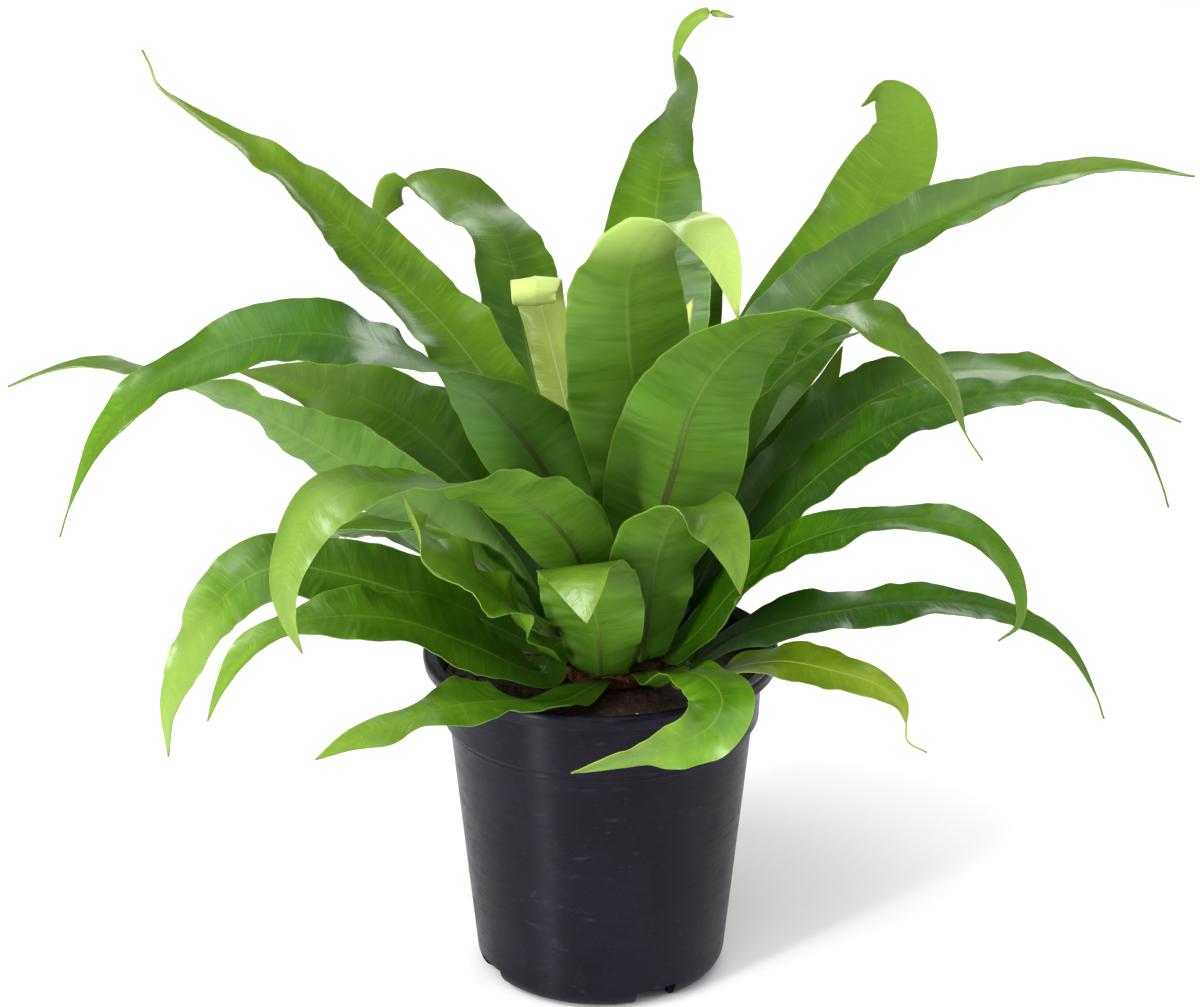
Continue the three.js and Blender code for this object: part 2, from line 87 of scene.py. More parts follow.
# ---- Fronds, as in the CAD model, in millimetres and degrees ----
# "out": direction off the crown [round from +X, up]. "half": greatest half width, "peak" of the way along.
# "tip": how fast the blade tapers. "fold": rise of its two halves. "wave": height of its ripples.
# "turn": twist from stalk to tip. "path": points from the middle of the mix's top.
FRONDS = [
    {
        "name": "frond_upper_left",
        "out": [162, 60], "half": 25, "peak": 0.47, "tip": 1.15, "fold": 8,
        "turn": [10, -5, -20, -30, -20, 20],
        "path": [
            [-45, 12, 131], [-76, 36, 172], [-111, 57, 203], [-146, 70, 235], [-176, 78, 259],
            [-203, 82, 274], [-222, 82, 288], [-233, 80, 299], [-236, 79, 309],
        ],
    },
    {
        "name": "frond_back_left_bent",
        "out": [124, 68], "half": 27, "peak": 0.55, "tip": 2.5, "fold": 5,
        "turn": [0, 0, 10, 10, 0],
        "path": [
            [-26, 55, 110], [-40, 90, 149], [-47, 115, 184], [-57, 130, 206], [-76, 140, 218],
            [-95, 142, 226], [-110, 140, 227], [-119, 134, 218], [-124, 128, 205],
        ],
    },
    {
        "name": "frond_tall_centre",
        "out": [285, 74], "half": 34, "peak": 0.48, "tip": 1.5, "fold": 5,
        "turn": [0, 0, 0, 5, 10, 10],
        "path": [
            [21, -32, 124], [17, -42, 166], [13, -58, 208], [14, -68, 241], [25, -80, 265],
            [41, -94, 274], [54, -106, 268], [61, -113, 254], [66, -117, 232],
        ],
    },
    {
        "name": "frond_tall_back",
        "out": [70, 69], "half": 33, "peak": 0.5, "tip": 1.0, "fold": 6,
        "turn": [0, 0, 0, 15, 80, 170],
        "path": [
            [24, 44, 114], [26, 72, 166], [29, 98, 215], [33, 112, 250], [41, 118, 275],
            [45, 118, 291], [39, 114, 306], [43, 108, 321], [55, 103, 332], [70, 98, 331],
        ],
    },
    {
        "name": "frond_back_wavy",
        "out": [82, 48], "half": 22, "fold": 4, "wave": 3,
        "turn": [0, 0, 0],
        "path": [
            [30, 70, 76], [41, 108, 126], [51, 125, 167], [59, 140, 184], [66, 152, 183],
            [72, 160, 172],
        ],
    },
    {
        "name": "frond_right_hooked",
        "out": [34, 59], "half": 28, "peak": 0.62, "tip": 2.6, "fold": 6,
        "turn": [0, 30, 60, 60],
        "path": [
            [53, 52, 89], [82, 80, 130], [110, 102, 168], [135, 118, 200], [153, 130, 231],
            [164, 138, 254], [163, 140, 270], [151, 136, 282], [141, 128, 275],
        ],
    },
    {
        "name": "frond_far_right_top",
        "out": [5, 50], "half": 27, "peak": 0.4, "tip": 1.5, "fold": 16, "wave": 1.5,
        "turn": [10, 20, 25, 20, 5],
        "path": [
            [53, 6, 105], [76, 22, 148], [107, 40, 185], [141, 54, 213], [184, 62, 234],
            [226, 66, 249], [267, 64, 258], [311, 56, 256],
        ],
    },
    {
        "name": "frond_centre_right_arch",
        "out": [315, 60], "half": 34, "peak": 0.36, "tip": 1.5, "fold": 4,
        "turn": [-50, -55, -45, -20, 0, 0],
        "path": [
            [25, -37, 77], [37, -56, 133], [47, -70, 175], [65, -80, 205], [88, -90, 223],
            [115, -96, 228], [141, -99, 221], [158, -101, 207], [171, -102, 190],
            [179, -102, 169],
        ],
    },
    {
        "name": "frond_right_under_arch",
        "out": [348, 47], "half": 21, "fold": 6,
        "turn": [-20, -30, -20, 0],
        "path": [
            [48, -12, 67], [61, -18, 103], [79, -20, 147], [97, -20, 170], [114, -18, 186],
            [132, -14, 193],
        ],
    },
    {
        "name": "frond_right_pointed",
        "out": [52, 54], "half": 15, "peak": 0.6, "fold": 6,
        "turn": [0, 0, 0],
        "path": [[54, 40, 41], [76, 56, 75], [102, 66, 108], [120, 72, 131], [130, 76, 156]],
    },
    {
        "name": "frond_right_long",
        "out": [12, 34], "half": 25, "peak": 0.45, "tip": 1.6, "fold": 8,
        "turn": [15, 15, 10, 5],
        "path": [
            [59, 12, 57], [95, 26, 98], [132, 36, 131], [164, 43, 146], [191, 47, 151],
            [228, 49, 149], [266, 47, 140], [309, 41, 125],
        ],
    },
    {
        "name": "frond_right_hanging",
        "out": [347, 36], "half": 24, "peak": 0.38, "tip": 1.0, "fold": 6,
        "turn": [15, 25, 20, 10],
        "path": [
            [52, -14, 43], [83, -20, 85], [118, -26, 124], [153, -30, 150], [188, -33, 163],
            [223, -34, 167], [254, -34, 160], [276, -32, 141], [288, -30, 118],
        ],
    },
    {
        "name": "frond_right_mid_arch",
        "out": [320, 29], "half": 26, "peak": 0.28, "tip": 0.9, "fold": 6,
        "turn": [35, 40, 30, 25, 30, 30],
        "path": [
            [46, -36, 31], [71, -64, 74], [97, -92, 106], [123, -111, 123], [151, -123, 132],
            [177, -130, 130], [196, -133, 116], [205, -134, 98], [205, -133, 80],
            [196, -130, 70],
        ],
    },
    {
        "name": "frond_right_low_arch",
        "out": [338, 20], "half": 20, "peak": 0.35, "tip": 1.0, "fold": 5,
        "turn": [15, 20, 15, 20],
        "path": [
            [47, -20, 11], [70, -28, 29], [98, -35, 42], [126, -41, 50], [154, -45, 56],
            [185, -47, 56], [216, -48, 49], [241, -47, 33], [258, -46, 5],
        ],
    },
    {
        "name": "frond_old_right",
        "skin": "frond_old",
        "out": [318, 13], "half": 17.5, "peak": 0.42, "tip": 1.9, "fold": 5,
        "turn": [0, 5, 20, 30],
        "path": [
            [48, -40, 8], [68, -49, 21], [94, -59, 29], [120, -67, 27], [142, -71, 21],
            [154, -73, 12], [157, -74, 1],
        ],
    },
    {
        "name": "frond_front_drooping",
        "out": [292, 17], "half": 17, "peak": 0.52, "tip": 1.7, "fold": 5,
        "turn": [0, 0, 10, 25, 10],
        "path": [
            [29, -48, 12], [44, -68, 27], [56, -90, 31], [61, -108, 27], [54, -120, 19],
            [36, -124, 11], [12, -122, 3], [-15, -116, -8],
        ],
    },
    {
        "name": "frond_front_folded",
        "out": [288, 48], "half": 25, "peak": 0.5, "tip": 1.6, "fold": 6,
        "turn": [0, 0, 0, 0],
        "path": [
            [20, -42, 23], [25, -54, 61], [29, -68, 94], [37, -82, 118], [50, -91, 126],
            [61, -95, 116], [67, -96, 100], [70, -95, 81],
        ],
    },
    {
        "name": "frond_front_tucked",
        "out": [262, 43], "half": 26, "peak": 0.62, "fold": 6,
        "turn": [0, 0, 5, 15],
        "path": [
            [1, -42, 15], [-1, -59, 46], [-6, -75, 74], [-11, -89, 94], [-10, -101, 90],
            [-7, -109, 71],
        ],
    },
    {
        "name": "frond_front_left_arch",
        "out": [240, 52], "half": 25, "peak": 0.42, "tip": 1.5, "fold": 6,
        "turn": [15, 30, 35, 20, -10, -30, -25],
        "path": [
            [-5, -48, 64], [-18, -70, 103], [-38, -92, 130], [-62, -112, 145], [-90, -128, 152],
            [-115, -140, 155], [-135, -148, 147], [-147, -151, 129], [-153, -152, 109],
            [-152, -151, 90], [-146, -148, 71],
        ],
    },
    {
        "name": "frond_left_ruffled",
        "out": [219, 35], "half": 23, "peak": 0.6, "tip": 2.4, "fold": 6, "wave": 3.5,
        "turn": [0, -20, -30, -30],
        "path": [
            [-30, -44, 30], [-45, -57, 59], [-62, -67, 77], [-77, -76, 91], [-88, -83, 105],
            [-95, -86, 118], [-98, -87, 131],
        ],
    },
    {
        "name": "frond_left_dark",
        "out": [206, 48], "half": 19, "peak": 0.5, "fold": 6,
        "turn": [10, 10, 10, 0],
        "path": [[-32, -19, 40], [-63, -25, 74], [-88, -30, 89], [-114, -32, 94], [-142, -34, 92]],
    },
    {
        "name": "frond_left_hanging",
        "out": [198, 33], "half": 25, "peak": 0.36, "tip": 1.7, "fold": 6,
        "turn": [-12, -35, -30, -30, -30],
        "path": [
            [-32, -10, 18], [-69, -17, 38], [-105, -24, 54], [-136, -30, 66], [-164, -34, 72],
            [-184, -37, 66], [-202, -39, 48], [-214, -40, 25], [-226, -40, -4], [-228, -39, -34],
        ],
    },
    {
        "name": "frond_left_low",
        "out": [210, 20], "half": 23, "peak": 0.32, "tip": 1.3, "fold": 6,
        "turn": [0, -28, -35, -20, -20],
        "path": [
            [-32, -36, 13], [-68, -55, 37], [-102, -74, 58], [-132, -88, 66], [-159, -97, 65],
            [-179, -101, 53], [-191, -103, 35], [-199, -103, 15],
        ],
    },
    {
        "name": "frond_front_left_low",
        "out": [256, 11], "half": 19.5, "peak": 0.42, "tip": 1.6, "fold": 5,
        "turn": [0, 0, -15, -50, -20],
        "path": [
            [-21, -67, 10], [-44, -96, 23], [-68, -116, 30], [-89, -128, 30], [-107, -133, 24],
            [-125, -136, 19], [-142, -139, 10],
        ],
    },
    {
        "name": "frond_left_big_arch",
        "out": [196, 61], "half": 32, "peak": 0.34, "tip": 1.4, "fold": 5,
        "turn": [35, 58, 56, 14, -22, -30, -30, -34],
        "path": [
            [-8, -12, 67], [-24, -20, 112], [-53, -32, 158], [-81, -42, 184], [-108, -50, 196],
            [-141, -55, 205], [-174, -58, 203], [-206, -60, 191], [-232, -61, 175],
            [-252, -62, 153], [-270, -62, 114],
        ],
    },
    {
        "name": "frond_far_left",
        "out": [177, 34], "half": 30, "peak": 0.36, "tip": 1.9, "fold": 5,
        "turn": [20, 55, 62, 56, 36, 8, -5],
        "path": [
            [-22, 6, 14], [-49, 14, 41], [-86, 22, 73], [-117, 26, 96], [-149, 28, 117],
            [-180, 28, 135], [-211, 27, 150], [-237, 26, 159], [-263, 24, 163], [-286, 22, 161],
            [-311, 20, 152],
        ],
    },
    {
        "name": "frond_left_lit",
        "out": [166, 46], "half": 30, "peak": 0.5, "fold": 6,
        "turn": [-10, -30, -30],
        "path": [
            [-22, 22, 31], [-49, 40, 64], [-81, 54, 99], [-114, 64, 123], [-151, 72, 135],
            [-196, 78, 141],
        ],
    },
    {
        "name": "frond_back_right_low",
        "out": [46, 26], "half": 24, "fold": 14,
        "turn": [0, 0, 0],
        "path": [[70, 80, 38], [98, 132, 44], [108, 172, 34], [110, 200, 16]],
    },
    {
        "name": "frond_back_right",
        "out": [66, 34], "half": 25, "fold": 14,
        "turn": [0, 0, 0],
        "path": [[44, 90, 79], [66, 145, 107], [84, 190, 95], [94, 222, 53]],
    },
    {
        "name": "frond_back",
        "out": [104, 38], "half": 26, "fold": 14,
        "turn": [0, 0, 0],
        "path": [[-14, 86, 95], [-30, 138, 128], [-38, 188, 118], [-42, 224, 75]],
    },
    {
        "name": "frond_back_left",
        "out": [128, 32], "half": 25, "fold": 14,
        "turn": [0, 0, 0],
        "path": [[-48, 76, 69], [-92, 124, 99], [-132, 166, 91], [-160, 196, 50]],
    },
    {
        "name": "frond_back_left_low",
        "out": [156, 14], "half": 22, "fold": 14,
        "turn": [0, 0, 0],
        "path": [[-62, 66, 16], [-110, 100, 38], [-148, 136, 24], [-172, 160, -14]],
    },
    {
        "name": "frond_back_low",
        "out": [88, 14], "half": 21, "fold": 12,
        "turn": [0, 0, 0],
        "path": [[10, 86, 31], [16, 138, 41], [18, 180, 23], [20, 208, -13]],
    },
    {
        "name": "frond_young_scrolled",
        "skin": "frond_young",
        "out": [110, 78], "half": 13, "peak": 0.6, "tip": 9, "fold": 10,
        "turn": [0, 0, 0],
        "path": [
            [-10, 14, 102], [-19, 18, 145], [-27, 22, 177], [-32, 25, 198], [-34, 24, 207],
            [-34, 18, 212], [-34, 11, 212], [-34, 13, 206],
        ],
    },
    {
        "name": "frond_young_right",
        "skin": "frond_young",
        "out": [20, 78], "half": 10, "peak": 0.6, "tip": 5, "fold": 30,
        "turn": [0, 0, 0],
        "path": [[28, 6, 82], [38, 10, 137], [45, 14, 180], [48, 15, 202]],
    },
]


# ---- Frond shape: the CAD model's middle line and cross-section, on a finer grid ----
LENGTH_STEPS = 120
WIDTH_STEPS = 18
FRILL = 3.0 * MM  # height of the frills along a margin
FRILL_SCALE = {
    "frond_left_ruffled": 1.9, "frond_upper_left": 1.2, "frond_young_scrolled": 0.3,
    "frond_tall_centre": 1.3, "frond_front_tucked": 1.7, "frond_front_folded": 1.5,
}
FRILL_STEP = 17 * MM
VEIN_STEP = 6 * MM
VEIN_HEIGHT = 0.07 * MM
GROOVE_WIDTH = 1.6 * MM  # furrow along the middle of the upper face
GROOVE_DEPTH = 0.5 * MM
EDGE_SKIN = 0.28 * MM  # half the blade's thickness at its margin
MIDDLE_SKIN = 0.30 * MM  # how much more it has in the middle
RIB_DEPTH = 1.5 * MM
STALK_SHARE = 0.22  # part of the length that is thicker, as a stalk
# Where a blade is pinched in: place along it, length of the pinch (both 0 to 1) and share of the width lost
PINCHES = {"frond_front_left_low": (0.72, 0.08, 0.5), "frond_left_low": (0.74, 0.07, 0.3)}
# Fine dried tails past the tips of some blades, as points added to the path
TAILS = {
    "frond_upper_left": [[-240, 79, 318]], "frond_left_big_arch": [[-275, -62, 99]],
    "frond_centre_right_arch": [[188, -103, 155]], "frond_right_hanging": [[293, -30, 103]],
    "frond_right_low_arch": [[263, -46, -9]], "frond_old_right": [[158, -74, -9], [168, -75, -15]],
}
# The rolled head of the young frond, finer than the CAD model's, in place of the path's last points
ROLLED_HEAD = [[-33, 25, 204], [-34, 20, 211], [-34, 12, 213], [-34, 6, 208], [-34, 8, 201], [-34, 14, 200],
               [-34, 17, 205], [-34, 13, 208]]


def catmull_rom(points, samples_per_span=60):
    """Centripetal curve through the points, as a dense polyline."""
    points = [np.array(p, float) for p in points]
    ends = [2 * points[0] - points[1]] + points + [2 * points[-1] - points[-2]]
    out = []
    for i in range(len(points) - 1):
        p0, p1, p2, p3 = ends[i:i + 4]
        d0, d1, d2 = (math.sqrt(np.linalg.norm(b - a)) for a, b in ((p0, p1), (p1, p2), (p2, p3)))
        m1 = ((p1 - p0) / d0 - (p2 - p0) / (d0 + d1) + (p2 - p1) / d1) * d1
        m2 = ((p2 - p1) / d1 - (p3 - p1) / (d1 + d2) + (p3 - p2) / d2) * d1
        s = np.linspace(0, 1, samples_per_span, endpoint=False)[:, None]
        out.append(p1 + m1 * s + (3 * (p2 - p1) - 2 * m1 - m2) * s**2 + (2 * (p1 - p2) + m1 + m2) * s**3)
    out.append(points[-1][None])
    return np.concatenate(out)


def evenly(line, count):
    """Points and unit tangents at even steps of length along a dense polyline, and its length."""
    steps = np.linalg.norm(np.diff(line, axis=0), axis=1)
    run = np.concatenate([[0], np.cumsum(steps)])
    at = np.linspace(0, run[-1], count)
    centre = np.stack([np.interp(at, run, line[:, k]) for k in range(3)], 1)
    ahead = np.stack([np.interp(np.minimum(at + 1e-3, run[-1]), run, line[:, k]) for k in range(3)], 1)
    behind = np.stack([np.interp(np.maximum(at - 1e-3, 0), run, line[:, k]) for k in range(3)], 1)
    along = ahead - behind
    return centre, along / np.linalg.norm(along, axis=1)[:, None], run[-1]


def leaving(out):
    """Unit vector for a direction off the crown."""
    around, up = out[0] * DEG, out[1] * DEG
    return np.array([math.cos(up) * math.cos(around), math.cos(up) * math.sin(around), math.sin(up)])


def middle_line(frond):
    leave = leaving(frond["out"])
    base = np.array(CROWN_CENTRE)
    start = base + leave * (CROWN_RADIUS + FIT_GAP)
    clear = base + leave * (CROWN_RADIUS + 12 * MM)
    path = frond["path"]
    if frond["name"] == "frond_young_scrolled":
        path = path[:4] + ROLLED_HEAD
    path = path + TAILS.get(frond["name"], [])
    rest = [np.array([x * MM, y * MM, MIX_TOP + z * MM]) for x, y, z in path]
    return catmull_rom([start, clear, *rest])


def blade_share(frond, length):
    """Share of the frond's length that is blade; a thin tail makes up the rest."""
    tail = [frond["path"][-1]] + TAILS.get(frond["name"], [])
    tail_length = sum(math.dist(a, b) for a, b in zip(tail, tail[1:])) * MM
    return 1 - tail_length / length


def half_width(frond, t):
    peak = frond.get("peak", 0.55)
    rise = np.sin(np.minimum(1, t / peak) * math.pi / 2) ** 1.15
    taper = 1 - np.maximum(0, (t - peak) / (1 - peak)) ** frond.get("tip", 1.9)
    blade = STALK_HALF_WIDTH + (frond["half"] * MM - STALK_HALF_WIDTH) * rise
    return TIP_HALF_WIDTH + (blade - TIP_HALF_WIDTH) * taper


def axes_along(frond, along, t):
    """Unit vectors across the blade and out of its upper face."""
    around = frond["out"][0] * DEG
    level = np.array([-math.sin(around), math.cos(around), 0.0])
    across = level - along * (along @ level)[:, None]
    across /= np.linalg.norm(across, axis=1)[:, None]
    turn = frond["turn"]
    angle = np.interp(t, np.linspace(0, 1, len(turn)), turn) * DEG
    side = np.cross(along, across)
    across = across * np.cos(angle)[:, None] + side * np.sin(angle)[:, None]
    return across, np.cross(along, across)


def smooth_noise(rng, knots, at):
    """A smooth random curve through evenly spaced knots, read at places from 0 to 1."""
    values = rng.uniform(-1, 1, knots + 3)
    x = np.asarray(at) * knots
    i = np.clip(x.astype(int), 0, knots - 1)
    f = x - i
    f = f * f * (3 - 2 * f)
    return values[i] * (1 - f) + values[i + 1] * f


def frond_surface(frond, seed):
    """Grids of points for the upper and lower faces, with each row's place along the frond."""
    rng = np.random.default_rng(seed)
    t = np.linspace(0, 1, LENGTH_STEPS + 1)
    centre, along, length = evenly(middle_line(frond), LENGTH_STEPS + 1)
    blade_at = np.minimum(1, t / blade_share(frond, length))
    across, upper = axes_along(frond, along, blade_at)
    half = half_width(frond, blade_at)
    if frond["name"] in PINCHES:
        place, spread, loss = PINCHES[frond["name"]]
        half = half * (1 - loss * np.exp(-((t - place) / spread)**2))
    v = np.linspace(-1, 1, WIDTH_STEPS + 1)
    T, V = np.meshgrid(t, v, indexing="ij")
    half_grid = half[:, None]
    fold = frond["fold"] * DEG
    edge = np.abs(V)
    wave = frond.get("wave", 1) * MM
    ripple = wave * np.sin(T * 9 * math.pi) * np.minimum(1, half_grid / (15 * MM))
    lift = edge * (half_grid * math.sin(fold) + V * ripple)
    # Uneven frills along each margin, different on the two sides, and shallow corrugations between the veins
    bends = max(5, int(length / FRILL_STEP))
    left = smooth_noise(rng, bends, T) + 0.35 * smooth_noise(rng, 3 * bends, T)
    right = smooth_noise(rng, bends, T) + 0.35 * smooth_noise(rng, 3 * bends, T)
    frill = np.where(V < 0, left, right) * edge**2.4 * np.minimum(1, half_grid / (14 * MM))
    frill *= FRILL * FRILL_SCALE.get(frond["name"], 1)
    frill *= np.clip(T * 4 - 0.5, 0, 1) * np.minimum(1, (1 - T) * 6)
    slant = (T * length / VEIN_STEP + edge * 0.6) * 2 * math.pi
    veins = np.sin(slant + 3 * smooth_noise(rng, 11, T)) * VEIN_HEIGHT
    vein_fade = 0.5 + 0.5 * smooth_noise(rng, 9, T)
    veins *= edge * (1.2 - edge) * np.minimum(1, half_grid / (12 * MM)) * 2 * vein_fade
    cup = (edge**2 - edge) * np.minimum(half_grid, 25 * MM) * 0.16 * np.clip(T * 4, 0, 1)
    groove = -np.exp(-(V * half_grid / GROOVE_WIDTH)**2) * GROOVE_DEPTH * (1 - 0.7 * T)
    margin_shift = 1 + 0.04 * smooth_noise(rng, 14, T) * edge**2
    x_across = V * half_grid * math.cos(fold) * margin_shift
    offset = across[:, None] * x_across[..., None] + upper[:, None] * (lift + frill + veins + cup)[..., None]
    middle = centre[:, None] + offset
    thin = EDGE_SKIN + MIDDLE_SKIN * (1 - edge**2)
    stalk = np.clip(1 - T / STALK_SHARE, 0, 1)**1.5
    rib_width = (1.1 + 1.6 * (1 - T)) * MM
    rib = np.exp(-(V * half_grid / rib_width)**2) * RIB_DEPTH * (1 - 0.85 * T)
    top = middle + upper[:, None] * (thin + groove + stalk * 0.5 * MM * (1 - edge**2))[..., None]
    bottom = middle - upper[:, None] * (thin + rib + stalk * 1.0 * MM * (1 - edge**2))[..., None]
    return top, bottom, t, v, length


def frond_mesh(frond, seed):
    top, bottom, t, v, length = frond_surface(frond, seed)
    rows, cols = top.shape[:2]
    points = np.concatenate([top.reshape(-1, 3), bottom.reshape(-1, 3)])
    index = np.arange(rows * cols).reshape(rows, cols)
    low = index + rows * cols
    faces = []
    for i in range(rows - 1):
        for j in range(cols - 1):
            faces.append((index[i, j], index[i + 1, j], index[i + 1, j + 1], index[i, j + 1]))
            faces.append((low[i, j], low[i, j + 1], low[i + 1, j + 1], low[i + 1, j]))
        faces.append((index[i, 0], low[i, 0], low[i + 1, 0], index[i + 1, 0]))
        faces.append((index[i, -1], index[i + 1, -1], low[i + 1, -1], low[i, -1]))
    for j in range(cols - 1):
        faces.append((index[0, j], index[0, j + 1], low[0, j + 1], low[0, j]))
        faces.append((index[-1, j], low[-1, j], low[-1, j + 1], index[-1, j + 1]))
    mesh = bpy.data.meshes.new(frond["name"] + "_leaf")
    mesh.from_pydata(points.tolist(), [], [tuple(int(k) for k in f) for f in faces])
    T, V = np.meshgrid(t, v, indexing="ij")
    pale = np.full_like(T, PALE_TIPS.get(frond["name"], 0))
    for name, grid in (("along", T * length / 0.3), ("reach", T), ("across", V), ("pale", pale)):
        attribute = mesh.attributes.new(name, "FLOAT", "POINT")
        attribute.data.foreach_set("value", np.tile(grid.reshape(-1), 2).astype(np.float32))
    side = mesh.attributes.new("upper_side", "FLOAT", "POINT")
    side.data.foreach_set("value", np.repeat([1.0, 0.0], rows * cols).astype(np.float32))
    mesh.shade_smooth()
    mesh.set_sharp_from_angle(angle=70 * DEG)
    mesh.validate()
    return mesh


# ---- Materials ----
class Nodes:
    """A short way to build a material's node tree."""

    def __init__(self, name):
        self.material = bpy.data.materials.new(name)
        self.material.use_nodes = True
        self.tree = self.material.node_tree
        self.tree.nodes.clear()
        self.output = self.add("ShaderNodeOutputMaterial")
        self.shader = self.add("ShaderNodeBsdfPrincipled")
        self.link(self.shader.outputs[0], self.output.inputs[0])

    def add(self, kind, **values):
        node = self.tree.nodes.new(kind)
        for key, value in values.items():
            setattr(node, key, value)
        return node

    def link(self, start, end):
        self.tree.links.new(start, end)

    def put(self, socket, value):
        if isinstance(value, bpy.types.NodeSocket):
            self.link(value, socket)
        else:
            socket.default_value = value

    def attribute(self, name):
        return self.add("ShaderNodeAttribute", attribute_name=name).outputs["Fac"]

    def math(self, operation, a, b=0.0):
        node = self.add("ShaderNodeMath", operation=operation)
        self.put(node.inputs[0], a)
        self.put(node.inputs[1], b)
        return node.outputs[0]

    def ramp(self, value, low, high):
        node = self.add("ShaderNodeMapRange", interpolation_type="SMOOTHSTEP")
        self.put(node.inputs["Value"], value)
        node.inputs["From Min"].default_value = low
        node.inputs["From Max"].default_value = high
        return node.outputs["Result"]

    def mix(self, factor, a, b):
        node = self.add("ShaderNodeMix", data_type="RGBA")
        self.put(node.inputs[0], factor)
        self.put(node.inputs[6], a)
        self.put(node.inputs[7], b)
        return node.outputs[2]

    def noise(self, vector, scale, detail=3.0, rough=0.5):
        node = self.add("ShaderNodeTexNoise")
        self.link(vector, node.inputs["Vector"])
        node.inputs["Scale"].default_value = scale
        node.inputs["Detail"].default_value = detail
        node.inputs["Roughness"].default_value = rough
        return node.outputs["Fac"]

    def point(self, x, y, z=0.0):
        node = self.add("ShaderNodeCombineXYZ")
        for socket, value in zip(node.inputs, (x, y, z)):
            self.put(socket, value)
        return node.outputs[0]

    def bump(self, height, strength, distance):
        node = self.add("ShaderNodeBump")
        node.inputs["Strength"].default_value = strength
        node.inputs["Distance"].default_value = distance
        self.link(height, node.inputs["Height"])
        self.link(node.outputs[0], self.shader.inputs["Normal"])
        return node.outputs[0]

    def set(self, **values):
        for key, value in values.items():
            self.put(self.shader.inputs[key.replace("_", " ")], value)


def colour(red, green, blue):
    """A display colour from 0 to 255, as the linear colour a shader takes."""
    def linear(c):
        c /= 255
        return c / 12.92 if c <= 0.04045 else ((c + 0.055) / 1.055) ** 2.4
    return (linear(red), linear(green), linear(blue), 1.0)


LEAF_GLOW = 0.2  # share of the light that comes through the blade


